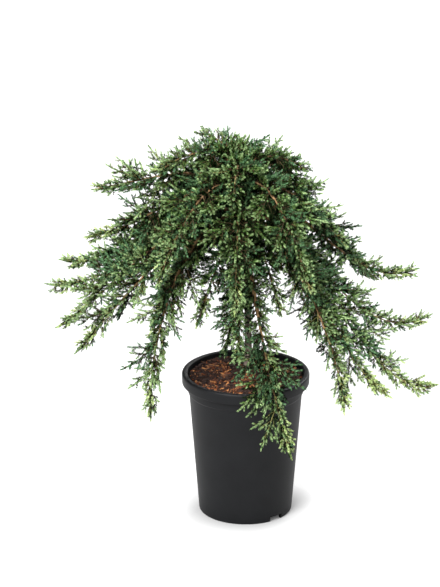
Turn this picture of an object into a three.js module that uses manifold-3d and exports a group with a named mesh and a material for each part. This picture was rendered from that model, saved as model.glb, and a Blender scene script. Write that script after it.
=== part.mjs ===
// A weeping carpet juniper grown as a small standard in a black nursery pot.
// Millimetres, +Z up. The origin is the middle of the pot's flat underside, and the plant faces -Y.
import * as THREE from "three";
import { mergeVertices } from "three/addons/utils/BufferGeometryUtils.js";
import Module from "manifold-3d";

const wasm = await Module();
wasm.setup();

// Driving sizes of the pot
const POT_HEIGHT = 248;
const POT_BASE_RADIUS = 79;
const POT_TOP_RADIUS = 96;
const RIM_RADIUS = 108;
const RIM_BAND = 18;
const COLLAR_HEIGHT = 18;
const POT_WALL = 3.5;
const POT_FLOOR = 5;
const LIP_DEPTH = 7;
const POT_SEGMENTS = 24;
const CHANNEL_INNER_RADIUS = 52;
const CHANNEL_OUTER_RADIUS = 73;
const CHANNEL_HEIGHT = 9;
const NOTCH_WIDTH = 25;
const NOTCH_AZIMUTHS = [-49, 131];
const INNER_TOP_RADIUS = POT_TOP_RADIUS + 0.5;
const INNER_FLOOR_RADIUS = POT_BASE_RADIUS - POT_WALL;
const FLOOR_TOP = CHANNEL_HEIGHT + POT_FLOOR;

// Driving sizes of the substrate and the trunk
const FIT_GAP = 0.3;
const SUBSTRATE_TOP = 240;
const SUBSTRATE_BUMP = 1.6;
const SUBSTRATE_RINGS = [0.74, 0.45, 0.2];
const SEAT_TOP = 245;
const SEAT_RADIUS = 17;
const SEAT_DEPTH = 12;
const MOUND_RADIUS = 60;
const TRUNK_FOOT = new THREE.Vector3(5, 25, SEAT_TOP + FIT_GAP);
const TRUNK_MIDDLE = new THREE.Vector3(4, 12, 420);
const TRUNK_TIP = new THREE.Vector3(-12, 0, 628);
const TRUNK_FOOT_RADIUS = 9.5;
const TRUNK_RADIUS = 6.2;
const TRUNK_TIP_RADIUS = 3.2;
const FLARE_SHARE = 0.09;

// Driving sizes of the limbs, their twigs and the plumes of needles on them
const CREST_SHARE = 0.28;
const BOUGH_RADIUS = 3.8;
const STEM_RADIUS = 3.2;
const STEM_TIP_RADIUS = 1;
const TWIG_ANGLE = 58;
const TWIG_TIP_ANGLE = 40;
const TWIG_SINK = 1.4;
const TWIG_DROOP = 0.1;
const TWIG_LENGTHS = [0.9, 1.12];
const FIRST_TWIG = 30;
const FIRST_TWIG_SHARE = 0.75;
const LEADER_LENGTH = 70;
const LEADER_FANNING = 0.55;
const ROLLS = [75, -70, 30, -25, 115, -110, 160];
const ROLL_SPREAD = 24;
const ROUND_SIZES = [1, 0.78, 0.62];
const RAISED_SHORTER = 0.4;
const TAPER_FROM = 0.4;
const CORE_STEPS = 5;
const CORE_DEPTH = 0.5;
const CORE_SPAN = [0.1, 0.75];
const BROAD_RADIUS = 3.4;
const SLIM_RADIUS = 1.8;
const CLEARANCE = 0.4;
const CHAIN_STEPS = 16;

// Driving sizes of a plume, which is a twig that opens into a fan of sprays. Lengths are shares of the
// plume's length, and angles are measured from its middle spray.
const FAN_START = 0.17;
const FAN_THICKNESS = 6.5;
const TWIG_HALF_WIDTH = 2;
const SPRAY_ANGLES = [46, 22, 0, -22, -46];
const SPRAY_LENGTHS = [0.62, 0.82, 1, 0.82, 0.62];
const SPRAY_ANGLE_SPREAD = 10;
const SPRAY_LENGTH_SPREAD = [0.86, 1.14];
const NOTCH_LENGTH = 0.4;

// Each limb leaves the trunk at base, climbs towards crest, bends over at elbow and ends at tip, which
// is reach away from the trunk. All but reach are heights. sway turns the limb on its way and twist tips
// its flat spray up, in degrees. hang is the elbow's share of the reach, spread the longest twig, end the
// last twigs' share of it, bare the share of the limb that is a bough without needles, and core the
// radius of a dense heart.
const PLAIN_LIMB = { sway: 0, hang: 0.66, twist: 0, end: 0.4, bare: 0.34, core: 0 };
const LIMBS = [
  { name: "right_high", azimuth: 4, base: 537, crest: 606, elbow: 368, reach: 296, tip: 424,
    twist: 55, spread: 52, twigs: 8, hang: 0.6 },
  { name: "right_middle", azimuth: -10, base: 518, crest: 588, elbow: 272, reach: 318, tip: 370,
    twist: 50, spread: 54, twigs: 7, hang: 0.54 },
  { name: "right_low", azimuth: -24, base: 500, crest: 580, elbow: 206, reach: 350, tip: 278,
    twist: 40, spread: 74, twigs: 9, hang: 0.64 },
  { name: "right_front", azimuth: -36, base: 509, crest: 594, elbow: 280, reach: 300, tip: 268,
    twist: 20, spread: 84, twigs: 9, end: 0.6 },
  { name: "right_hang", azimuth: -37, base: 484, crest: 565, elbow: 330, reach: 264, tip: 252,
    sway: -15, hang: 0.85, spread: 66, twigs: 9, end: 0.6, bare: 0.26 },
  { name: "front_trail", azimuth: -95, base: 522, crest: 570, elbow: 345, reach: 176, tip: 152,
    sway: 32, hang: 0.95, spread: 78, twigs: 9, end: 1.3, bare: 0.42 },
  { name: "front_column", azimuth: -100, base: 494, crest: 557, elbow: 430, reach: 124, tip: 306,
    sway: 6, spread: 64, twigs: 11, end: 0.8, bare: 0 },
  { name: "front_left_tuft", azimuth: -126, base: 444, crest: 540, elbow: 450, reach: 140, tip: 366,
    spread: 56, twigs: 9, end: 0.7, bare: 0.26 },
  { name: "trunk_skirt", azimuth: -140, base: 440, crest: 440, elbow: 352, reach: 46, tip: 286,
    spread: 52, twigs: 8, end: 0.9, bare: 0 },
  { name: "front_right_arch", azimuth: -60, base: 461, crest: 538, elbow: 446, reach: 118, tip: 384,
    spread: 50, twigs: 8, bare: 0.26 },
  { name: "left_inner", azimuth: -142, base: 482, crest: 581, elbow: 460, reach: 200, tip: 360,
    spread: 78, twigs: 9, end: 0.7 },
  { name: "left_hang", azimuth: -145, base: 511, crest: 598, elbow: 420, reach: 222, tip: 222,
    sway: 11, hang: 0.95, spread: 70, twigs: 12, end: 0.85 },
  { name: "left_low_front", azimuth: -157, base: 474, crest: 572, elbow: 420, reach: 306, tip: 324,
    twist: -35, spread: 84, twigs: 10, end: 0.75 },
  { name: "left_low", azimuth: -168, base: 503, crest: 589, elbow: 410, reach: 320, tip: 350,
    twist: -50, spread: 78, twigs: 10, end: 0.75, hang: 0.66 },
  { name: "left_far_low", azimuth: -177, base: 526, crest: 598, elbow: 376, reach: 330, tip: 410,
    twist: -60, spread: 74, twigs: 9, end: 0.6, hang: 0.62 },
  { name: "left_far_high", azimuth: 172, base: 538, crest: 604, elbow: 398, reach: 312, tip: 432,
    twist: -60, spread: 68, twigs: 10, end: 0.6, hang: 0.62 },
  { name: "left_middle", azimuth: -176, base: 558, crest: 620, elbow: 500, reach: 262, tip: 494,
    twist: -60, spread: 86, twigs: 9, hang: 0.6 },
  { name: "left_high", azimuth: 176, base: 580, crest: 624, elbow: 582, reach: 248, tip: 566,
    twist: -60, spread: 90, twigs: 10, end: 0.75 },
  { name: "crown_left", azimuth: -165, base: 604, crest: 658, elbow: 650, reach: 140, tip: 614,
    twist: -30, spread: 70, twigs: 7, bare: 0, core: 16 },
  { name: "crown_top", azimuth: 160, base: 620, crest: 652, elbow: 658, reach: 66, tip: 664,
    spread: 52, twigs: 7, bare: 0, core: 14 },
  { name: "crown_right", azimuth: 10, base: 606, crest: 640, elbow: 630, reach: 114, tip: 598,
    twist: 30, spread: 64, twigs: 7, bare: 0, core: 18 },
  { name: "crown_front", azimuth: -96, base: 593, crest: 646, elbow: 636, reach: 122, tip: 584,
    spread: 70, twigs: 7, bare: 0, core: 18 },
  { name: "crown_back", azimuth: 92, base: 598, crest: 640, elbow: 636, reach: 126, tip: 584,
    spread: 70, twigs: 6, bare: 0, core: 18 },
  { name: "shoulder_right", azimuth: -12, base: 584, crest: 606, elbow: 560, reach: 178, tip: 484,
    twist: 40, spread: 72, twigs: 8, bare: 0, core: 15 },
  { name: "shoulder_front_right", azimuth: -56, base: 572, crest: 632, elbow: 580, reach: 200, tip: 450,
    spread: 86, twigs: 8, bare: 0, core: 15 },
  { name: "shoulder_front_left", azimuth: -132, base: 566, crest: 631, elbow: 580, reach: 210, tip: 456,
    spread: 86, twigs: 8, bare: 0, core: 18 },
  { name: "shoulder_front", azimuth: -94, base: 552, crest: 610, elbow: 560, reach: 190, tip: 420,
    spread: 84, twigs: 8, bare: 0, core: 18 },
  { name: "back_right_high", azimuth: 32, base: 546, crest: 610, elbow: 425, reach: 276, tip: 358,
    spread: 80, twigs: 7 },
  { name: "back_right_low", azimuth: 60, base: 489, crest: 600, elbow: 400, reach: 270, tip: 304,
    spread: 88, twigs: 7 },
  { name: "back_middle", azimuth: 88, base: 532, crest: 620, elbow: 420, reach: 256, tip: 280,
    spread: 86, twigs: 7 },
  { name: "back_left_low", azimuth: 118, base: 498, crest: 599, elbow: 400, reach: 270, tip: 300,
    spread: 88, twigs: 7 },
  { name: "back_left_high", azimuth: 147, base: 548, crest: 608, elbow: 430, reach: 284, tip: 360,
    spread: 80, twigs: 7 },
  { name: "shoulder_back_right", azimuth: 50, base: 576, crest: 635, elbow: 580, reach: 190, tip: 470,
    spread: 86, twigs: 6, bare: 0, core: 18 },
  { name: "shoulder_back_left", azimuth: 130, base: 570, crest: 634, elbow: 580, reach: 196, tip: 470,
    spread: 86, twigs: 6, bare: 0, core: 18 },
].map((limb) => ({ ...PLAIN_LIMB, ...limb }));

// Colours of the three kinds of surface on the plant, and of the pot and its filling
const NEEDLE_COLOURS = [0x2f5a34, 0x3c6b3b, 0x2a4f3a, 0x4a7a3e];
const barkMaterial = new THREE.MeshStandardMaterial({ color: 0x7a5236, roughness: 0.9, metalness: 0 });
const trunkMaterial = new THREE.MeshStandardMaterial({ color: 0x7d7067, roughness: 0.95, metalness: 0 });
const potMaterial = new THREE.MeshStandardMaterial({ color: 0x26272a, roughness: 0.5, metalness: 0 });
const mulchMaterial = new THREE.MeshStandardMaterial({ color: 0x5b3420, roughness: 0.95, metalness: 0 });

const radians = THREE.MathUtils.degToRad;
const mix = THREE.MathUtils.lerp;

// A random number from 0 to 1 that depends only on a seed and an index.
function chance(seed, index) {
  let a = Math.imul(seed, 0x9e3779b1) ^ Math.imul(index + 1, 0x85ebca6b);
  a = Math.imul(a ^ (a >>> 15), a | 1);
  a ^= a + Math.imul(a ^ (a >>> 7), a | 61);
  return ((a ^ (a >>> 14)) >>> 0) / 4294967296;
}

// Turns a closed three.js geometry into a solid, and a solid back into a geometry.
function solidOf(geometry) {
  const bare = geometry.clone();
  bare.deleteAttribute("normal");
  bare.deleteAttribute("uv");
  const merged = mergeVertices(bare, 1e-4);
  const mesh = new wasm.Mesh({
    numProp: 3,
    vertProperties: merged.attributes.position.array,
    triVerts: new Uint32Array(merged.index.array),
  });
  return new wasm.Manifold(mesh);
}

function geometryOf(solid) {
  const mesh = solid.getMesh();
  const geometry = new THREE.BufferGeometry();
  const position = new Float32Array(mesh.vertProperties);
  geometry.setAttribute("position", new THREE.BufferAttribute(position, 3));
  geometry.setIndex(new THREE.BufferAttribute(new Uint32Array(mesh.triVerts), 1));
  geometry.computeVertexNormals();
  return geometry;
}

// Fuses pieces into one body. A scrap that hangs on to nothing is dropped.
function fused(pieces) {
  const bodies = wasm.Manifold.union(pieces).decompose();
  return bodies.reduce((largest, body) => (body.volume() > largest.volume() ? body : largest));
}

// Moves the vertices of a cylinder or cone that stands on the Y axis onto a curve. radiusAt gives the
// distance from the curve at a share of the length and an angle round it.
function bend(shape, curve, from, to, side, radiusAt) {
  const position = shape.attributes.position;
  for (let i = 0; i < position.count; i += 1) {
    const share = position.getY(i) + 0.5;
    const at = mix(from, to, share);
    const centre = curve.getPointAt(at);
    if (Math.hypot(position.getX(i), position.getZ(i)) > 1e-6) {
      const angle = Math.atan2(position.getZ(i), position.getX(i));
      centre.addScaledVector(spoke(curve, at, side, angle), radiusAt(share, angle));
    }
    position.setXYZ(i, centre.x, centre.y, centre.z);
  }
  return shape;
}

// The direction square to a curve at an angle from its side.
function spoke(curve, at, side, angle) {
  const tangent = curve.getTangentAt(at);
  const across = side.clone().addScaledVector(tangent, -side.dot(tangent)).normalize();
  const up = across.clone().cross(tangent);
  return across.multiplyScalar(Math.cos(angle)).addScaledVector(up, Math.sin(angle));
}

function taperedLimb(curve, from, to, side, startRadius, endRadius, sides, steps) {
  const shape = new THREE.CylinderGeometry(1, 1, 1, sides, steps);
  return solidOf(bend(shape, curve, from, to, side, (share) => mix(startRadius, endRadius, share)));
}

// The pot: a tapered shell with a curled rim, and an outlet notch on each side of its foot ring.
function makePot() {
  const rimFoot = POT_HEIGHT - RIM_BAND;
  const collarFoot = rimFoot - COLLAR_HEIGHT;
  const profile = [
    [0, 0],
    [CHANNEL_INNER_RADIUS, 0],
    [CHANNEL_INNER_RADIUS + 3, CHANNEL_HEIGHT],
    [CHANNEL_OUTER_RADIUS - 2, CHANNEL_HEIGHT],
    [CHANNEL_OUTER_RADIUS, 0],
    [POT_BASE_RADIUS - 1.5, 0],
    [POT_BASE_RADIUS, 3],
    [POT_TOP_RADIUS - 0.5, collarFoot],
    [POT_TOP_RADIUS + 1.5, collarFoot + 2],
    [POT_TOP_RADIUS + 2.5, POT_HEIGHT - 5],
    [RIM_RADIUS - 3, POT_HEIGHT - 6],
    [RIM_RADIUS - 2.5, rimFoot],
    [RIM_RADIUS - 0.5, rimFoot],
    [RIM_RADIUS, POT_HEIGHT - 5],
    [RIM_RADIUS - 2, POT_HEIGHT - 1],
    [RIM_RADIUS - 4, POT_HEIGHT],
    [INNER_TOP_RADIUS + 3.5, POT_HEIGHT - 1],
    [INNER_TOP_RADIUS, POT_HEIGHT - LIP_DEPTH],
    [INNER_FLOOR_RADIUS, FLOOR_TOP],
    [0, FLOOR_TOP],
  ].map(([radius, height]) => new THREE.Vector2(radius, height));
  const shell = new THREE.LatheGeometry(profile, POT_SEGMENTS).rotateX(Math.PI / 2);
  const ringMiddle = (CHANNEL_OUTER_RADIUS + POT_BASE_RADIUS) / 2;
  const notches = NOTCH_AZIMUTHS.map((azimuth) => {
    const cutter = new THREE.BoxGeometry(20, NOTCH_WIDTH, 2 * CHANNEL_HEIGHT);
    cutter.translate(ringMiddle + 2, 0, 0).rotateZ(radians(azimuth));
    return solidOf(cutter);
  });
  return geometryOf(notches.reduce((pot, notch) => pot.subtract(notch), solidOf(shell)));
}

// The substrate that fills the pot, with bark on top, heaped a little towards the trunk's flat seat.
function makeSubstrate() {
  const share = (SUBSTRATE_TOP - FLOOR_TOP) / (POT_HEIGHT - LIP_DEPTH - FLOOR_TOP);
  const topRadius = mix(INNER_FLOOR_RADIUS, INNER_TOP_RADIUS, share);
  const edge = new THREE.Vector2(topRadius - 2 * FIT_GAP, SUBSTRATE_TOP);
  const rings = SUBSTRATE_RINGS.map((ring) => new THREE.Vector2(edge.x * ring, edge.y));
  const foot = new THREE.Vector2(INNER_FLOOR_RADIUS - 2 * FIT_GAP, FLOOR_TOP + FIT_GAP);
  const profile = [new THREE.Vector2(0, foot.y), foot, edge, ...rings, new THREE.Vector2(0, edge.y)];
  const shape = new THREE.LatheGeometry(profile, POT_SEGMENTS).rotateX(Math.PI / 2);
  shape.deleteAttribute("normal");
  shape.deleteAttribute("uv");
  const merged = mergeVertices(shape, 1e-4);
  const position = merged.attributes.position;
  for (let i = 0; i < position.count; i += 1) {
    if (position.getZ(i) < SUBSTRATE_TOP - 1) continue;
    const away = Math.hypot(position.getX(i) - TRUNK_FOOT.x, position.getY(i) - TRUNK_FOOT.y);
    const heap = Math.max(0, 1 - away / MOUND_RADIUS) * (SEAT_TOP - SUBSTRATE_TOP);
    const inside = Math.hypot(position.getX(i), position.getY(i)) < edge.x - 1;
    const bump = inside ? (chance(7, i) - 0.5) * 2 * SUBSTRATE_BUMP : 0;
    position.setZ(i, SUBSTRATE_TOP + heap + bump);
  }
  const seat = new THREE.CylinderGeometry(SEAT_RADIUS, SEAT_RADIUS + 4, SEAT_DEPTH, 12);
  seat.rotateX(Math.PI / 2).translate(TRUNK_FOOT.x, TRUNK_FOOT.y, SEAT_TOP - SEAT_DEPTH / 2);
  const above = new THREE.CylinderGeometry(SEAT_RADIUS, SEAT_RADIUS, SEAT_DEPTH, 12);
  above.rotateX(Math.PI / 2).translate(TRUNK_FOOT.x, TRUNK_FOOT.y, SEAT_TOP + SEAT_DEPTH / 2);
  return geometryOf(solidOf(merged).add(solidOf(seat)).subtract(solidOf(above)));
}

// The trunk, from its flat cut on the substrate to its tip in the crown.
const trunkCurve = new THREE.QuadraticBezierCurve3(TRUNK_FOOT, TRUNK_MIDDLE, TRUNK_TIP);

function trunkRadius(share, extra = 0) {
  const flare = Math.max(0, 1 - share / FLARE_SHARE) ** 2 * (TRUNK_FOOT_RADIUS - TRUNK_RADIUS);
  return mix(TRUNK_RADIUS, TRUNK_TIP_RADIUS, share) + flare + extra;
}

function makeTrunk(extra) {
  const shape = new THREE.CylinderGeometry(1, 1, 1, 8, 10);
  const side = new THREE.Vector3(1, 0, 0);
  const bent = solidOf(bend(shape, trunkCurve, 0, 1, side, (share) => trunkRadius(share, extra)));
  const ground = new THREE.BoxGeometry(100, 100, 40);
  ground.translate(TRUNK_FOOT.x, TRUNK_FOOT.y, TRUNK_FOOT.z - 20);
  return bent.subtract(solidOf(ground));
}

function trunkPoint(height) {
  return trunkCurve.getPoint((height - TRUNK_FOOT.z) / (TRUNK_TIP.z - TRUNK_FOOT.z));
}

// A limb's line: out of the trunk, over its crest and down to its tip.
function limbCurve(limb) {
  const root = trunkPoint(Math.min(limb.base, TRUNK_TIP.z));
  const place = (distance, height, turn) => {
    const azimuth = radians(limb.azimuth + limb.sway * turn);
    const x = root.x + distance * Math.cos(azimuth);
    const y = root.y + distance * Math.sin(azimuth);
    return new THREE.Vector3(x, y, height);
  };
  const crest = place(CREST_SHARE * limb.reach, limb.crest, 0);
  const elbow = place(limb.hang * limb.reach, limb.elbow, 0.4);
  return new THREE.CubicBezierCurve3(root, crest, elbow, place(limb.reach, limb.tip, 1));
}

// The way a limb's flat spray spreads: level, or tipped up by the limb's twist.
function sideOf(limb) {
  const azimuth = radians(limb.azimuth);
  const tilt = Math.tan(radians(limb.twist));
  return new THREE.Vector3(-Math.sin(azimuth), Math.cos(azimuth), tilt).normalize();
}

// Everything that grows is also kept as rods, straight pieces with a radius, in clumps with a sphere
// round them, so that no twig or spray touches another or a limb.
const clumps = [];

function makeClump(owner, rods) {
  const box = new THREE.Box3();
  rods.forEach((rod) => box.expandByPoint(rod.line.start).expandByPoint(rod.line.end));
  const ball = box.getBoundingSphere(new THREE.Sphere());
  ball.radius += Math.max(...rods.map((rod) => rod.radius));
  return { owner, rods, ball };
}

function makeRod(start, end, radius) {
  return { line: new THREE.Line3(start.clone(), end.clone()), radius };
}

function rodsTouch(one, other) {
  const room = one.radius + other.radius + CLEARANCE;
  return one.line.distanceSqToLine3(other.line) < room * room;
}

function isFree(clump) {
  return clumps.every((other) => other.owner === clump.owner && other.isStem
    || clump.ball.center.distanceTo(other.ball.center) > clump.ball.radius + other.ball.radius + CLEARANCE
    || !clump.rods.some((rod) => other.rods.some((rival) => rodsTouch(rod, rival))));
}

// The outline of a plume, seen flat: along its length and across it, from the twig's root round the
// fan and back.
function plumeOutline({ length, seed, fanning }) {
  const fan = length * (1 - FAN_START);
  const heart = length * FAN_START;
  const place = (reach, angle) => {
    const turn = radians(angle);
    return [heart + fan * reach * Math.cos(turn), fan * reach * Math.sin(turn)];
  };
  const sprays = SPRAY_ANGLES.map((angle, k) => {
    if (!angle) return { angle, reach: 1 };
    const turned = angle + SPRAY_ANGLE_SPREAD * (chance(seed, 40 + k) - 0.5);
    return {
      angle: fanning * turned,
      reach: SPRAY_LENGTHS[k] * mix(...SPRAY_LENGTH_SPREAD, chance(seed, 50 + k)),
    };
  });
  const points = [[-TWIG_SINK, 0]];
  sprays.forEach((spray, k) => {
    if (k) points.push(place(NOTCH_LENGTH, mix(sprays[k - 1].angle, spray.angle, 0.5)));
    points.push(place(spray.reach, spray.angle));
  });
  return points;
}

// A plume's flat place in space.
function plumePoint(plume, [along, across], above = 0) {
  return plume.root.clone()
    .addScaledVector(plume.way, along)
    .addScaledVector(plume.across, across)
    .addScaledVector(plume.up, above);
}

// A plume of needles: a toothed blade on its twig, thickest at its heart and sharp round its outline.
function plumeSolid(plume) {
  const outline = plumeOutline(plume);
  const shape = new THREE.SphereGeometry(1, outline.length, 2);
  const position = shape.attributes.position;
  for (let i = 0; i < position.count; i += 1) {
    const height = position.getY(i);
    const turn = Math.atan2(position.getZ(i), -position.getX(i)) / (2 * Math.PI);
    const index = (Math.round(turn * outline.length) + outline.length) % outline.length;
    const onEdge = Math.abs(height) < 0.5;
    const flat = onEdge ? outline[index] : [FAN_START * plume.length, 0];
    const point = plumePoint(plume, flat, onEdge ? 0 : (height * FAN_THICKNESS) / 2);
    position.setXYZ(i, point.x, point.y, point.z);
  }
  return solidOf(shape);
}

// The rods of a plume: its twig, and for each spray a broad half and a slim half.
function plumeClump(owner, plume) {
  const outline = plumeOutline(plume);
  const heart = plumePoint(plume, [FAN_START * plume.length, 0]);
  const rods = [makeRod(plume.root, heart, TWIG_HALF_WIDTH)];
  outline.slice(1).forEach((flat, k) => {
    if (k % 2) return;
    const tip = plumePoint(plume, flat);
    const middle = heart.clone().lerp(tip, 0.5);
    rods.push(makeRod(heart, middle, BROAD_RADIUS), makeRod(middle, tip, SLIM_RADIUS));
  });
  return makeClump(owner, rods);
}

// A twig's plume: where it stands on the stem, which way it goes, and which way its flat side faces.
// Each attempt turns it further round the stem.
function twigPlume(grown, place, size, attempt) {
  const { limb, curve, start, length } = grown;
  const seed = grown.seed * 64 + Math.round(place * 10);
  const share = (place + 0.5 * chance(seed, 0)) / limb.twigs;
  const first = Math.max(start, FIRST_TWIG / length);
  const at = mix(first, 1 - (0.5 * LEADER_LENGTH) / length, share);
  const root = curve.getPointAt(at);
  const tangent = curve.getTangentAt(at);
  const side = sideOf(limb);
  const outward = tangent.clone().cross(side).normalize();
  const turn = ROLLS[(attempt + Math.floor(2.4 * chance(seed, 1))) % ROLLS.length];
  const hand = Math.round(place * 2) % 2 ? 1 : -1;
  const roll = radians(hand * turn + ROLL_SPREAD * (chance(seed, 10 + attempt) - 0.5));
  const sideways = outward.multiplyScalar(Math.cos(roll)).addScaledVector(side, Math.sin(roll));
  const angle = radians(mix(TWIG_ANGLE, TWIG_TIP_ANGLE, share));
  const way = tangent.clone().multiplyScalar(Math.cos(angle)).addScaledVector(sideways, Math.sin(angle));
  way.z -= TWIG_DROOP;
  way.normalize();
  const late = Math.max(0, (share - TAPER_FROM) / (1 - TAPER_FROM));
  const taper = Math.min(1, FIRST_TWIG_SHARE + share) * mix(1, limb.end, late);
  const raised = way.z > 0 ? 1 - RAISED_SHORTER * way.z : 1;
  const varied = mix(...TWIG_LENGTHS, chance(seed, 2));
  return plumeAlong(root, way, tangent, limb.spread * size * taper * raised * varied, seed);
}

function plumeAlong(root, way, facing, length, seed, fanning = 1) {
  const across = facing.clone().addScaledVector(way, -facing.dot(way)).normalize();
  return { root, way, across, up: across.clone().cross(way), length, seed, fanning };
}

function leaderPlume({ limb, curve, length, seed }) {
  const root = curve.getPointAt(1 - LEADER_LENGTH / length);
  const way = curve.getPointAt(1).sub(root);
  const facing = sideOf(limb).addScaledVector(new THREE.Vector3(0, 0, 1), 0.8);
  return plumeAlong(root, way.clone().normalize(), facing, way.length(), seed, LEADER_FANNING);
}

// Twigs grow in rounds. In each round every mass takes one place on its stem after another, and a
// plume that finds no free way there is left out.
function growPlumes(limbs) {
  limbs.forEach((grown) => {
    const plume = leaderPlume(grown);
    grown.plumes.push(plume);
    clumps.push(plumeClump(grown.limb.name, plume));
  });
  const mostTwigs = Math.max(...limbs.map((grown) => grown.limb.twigs));
  ROUND_SIZES.forEach((size, round) => {
    for (let i = mostTwigs - 1; i >= 0; i -= 1) {
      limbs.filter((grown) => i < grown.limb.twigs).forEach((grown) => {
        for (let attempt = 0; attempt < ROLLS.length; attempt += 1) {
          const plume = twigPlume(grown, i + round / ROUND_SIZES.length, size, attempt);
          const clump = plumeClump(grown.limb.name, plume);
          if (!isFree(clump)) continue;
          grown.plumes.push(plume);
          clumps.push(clump);
          break;
        }
      });
    }
  });
}

// The dense heart of a mass: a lumpy slab along its stem, smaller than the mass.
function coreRadius(limb, share) {
  return limb.core * Math.sin(Math.PI * mix(0.2, 0.95, share)) ** 0.6;
}

function coreSolid({ limb, curve, start, seed }) {
  const reach = (share, angle) => {
    const step = Math.round(share * CORE_STEPS);
    const rough = mix(0.7, 1, chance(seed, 500 + step * 4 + Math.round(angle)));
    return coreRadius(limb, share) * rough * (Math.abs(Math.cos(angle)) > 0.5 ? 1 : CORE_DEPTH);
  };
  const shape = new THREE.CylinderGeometry(1, 1, 1, 4, CORE_STEPS);
  const [from, to] = CORE_SPAN.map((share) => mix(start, 1, share));
  return solidOf(bend(shape, curve, from, to, sideOf(limb), reach));
}

// One mass: its stem, its plumes and a core where it is dense, fused.
function makeMass(grown) {
  const { limb, curve, start, length, plumes } = grown;
  const end = 1 - (0.6 * LEADER_LENGTH) / length;
  const stem = taperedLimb(curve, start, end, sideOf(limb), STEM_RADIUS, STEM_TIP_RADIUS, 3, 6);
  const core = limb.core ? [coreSolid(grown)] : [];
  const body = fused([stem, ...core, ...plumes.map(plumeSolid)]);
  return limb.bare ? body : fused([body.subtract(trunkRoom)]);
}

// The whole plant, as one group of named meshes
const plant = new THREE.Group();

function addMesh(name, geometry, material) {
  const mesh = new THREE.Mesh(geometry, material);
  mesh.name = name;
  plant.add(mesh);
}

addMesh("pot", makePot(), potMaterial);
addMesh("bark_mulch", makeSubstrate(), mulchMaterial);
addMesh("trunk", geometryOf(makeTrunk(0)), trunkMaterial);

const trunkRoom = makeTrunk(FIT_GAP);

const limbs = LIMBS.map((limb, index) => {
  const curve = limbCurve(limb);
  const length = curve.getLength();
  const start = limb.bare ? limb.bare + FIT_GAP / length : 0;
  return { limb, seed: 100 + index, curve, length, start, plumes: [] };
});

// The trunk's, the boughs' and the stems' rods come first, and then the plumes fill the room between.
function addChain(owner, points, radiusAt, isStem = false) {
  for (let i = 1; i < points.length; i += 1) {
    const rod = makeRod(points[i - 1], points[i], radiusAt((i - 0.5) / (points.length - 1)));
    clumps.push({ ...makeClump(owner, [rod]), isStem });
  }
}

addChain("trunk", trunkCurve.getSpacedPoints(12), trunkRadius);
limbs.forEach(({ limb, curve }) => {
  const points = curve.getSpacedPoints(CHAIN_STEPS);
  const boughSteps = Math.round(limb.bare * CHAIN_STEPS);
  addChain(limb.name + "_bough", points.slice(0, boughSteps + 1), () => BOUGH_RADIUS);
  addChain(limb.name, points.slice(boughSteps), () => STEM_RADIUS, true);
  if (!limb.core) return;
  const heart = CORE_SPAN.map((share) => Math.round(share * CHAIN_STEPS));
  addChain(limb.name, points.slice(heart[0], heart[1] + 1), (share) => 0.8 * coreRadius(limb, share), true);
});
growPlumes(limbs);

for (const { limb, curve } of limbs.filter((grown) => grown.limb.bare)) {
  const rough = taperedLimb(curve, 0, limb.bare, sideOf(limb), BOUGH_RADIUS, STEM_RADIUS, 5, 3);
  addMesh(limb.name + "_bough", geometryOf(fused([rough.subtract(trunkRoom)])), barkMaterial);
}

limbs.forEach((grown, index) => {
  const material = new THREE.MeshStandardMaterial({
    color: NEEDLE_COLOURS[index % NEEDLE_COLOURS.length],
    roughness: 0.7,
    metalness: 0,
  });
  addMesh(grown.limb.name + "_needles", geometryOf(makeMass(grown)), material);
});

export default plant;
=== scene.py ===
"""A potted weeping carpet juniper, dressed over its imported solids.

The plant grows in millimetres by the rule of its source. Every mesh is made in metres, +Z up, with
the viewer at -Y.
"""
import math
from math import radians
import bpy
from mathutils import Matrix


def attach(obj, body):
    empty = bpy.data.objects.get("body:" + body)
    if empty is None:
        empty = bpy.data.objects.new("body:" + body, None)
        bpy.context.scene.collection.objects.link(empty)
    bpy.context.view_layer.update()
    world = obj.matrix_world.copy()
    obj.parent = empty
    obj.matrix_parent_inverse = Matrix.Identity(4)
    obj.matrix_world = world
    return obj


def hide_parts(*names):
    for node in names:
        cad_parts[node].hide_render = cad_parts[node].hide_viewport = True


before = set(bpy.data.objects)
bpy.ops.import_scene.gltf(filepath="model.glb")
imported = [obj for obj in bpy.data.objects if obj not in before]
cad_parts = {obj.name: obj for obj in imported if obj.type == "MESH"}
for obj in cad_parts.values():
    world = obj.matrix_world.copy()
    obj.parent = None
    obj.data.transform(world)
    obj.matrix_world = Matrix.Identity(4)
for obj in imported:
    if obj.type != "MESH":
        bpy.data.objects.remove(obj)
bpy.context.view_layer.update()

from types import SimpleNamespace

import bmesh
import bpy
import numpy as np
from mathutils import Vector

MM = 0.001
UP = np.array([0.0, 0.0, 1.0])
norm = np.linalg.norm

# The camera stands where the photo was taken from, and its view is the photo's frame
CAMERA_PLACE = (-0.0434, -6.0, 2.62)
CAMERA_DOWN = 20.4
CAMERA_LENS = 234.2
CAMERA_REACH = 100
SENSOR = 36.0

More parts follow.
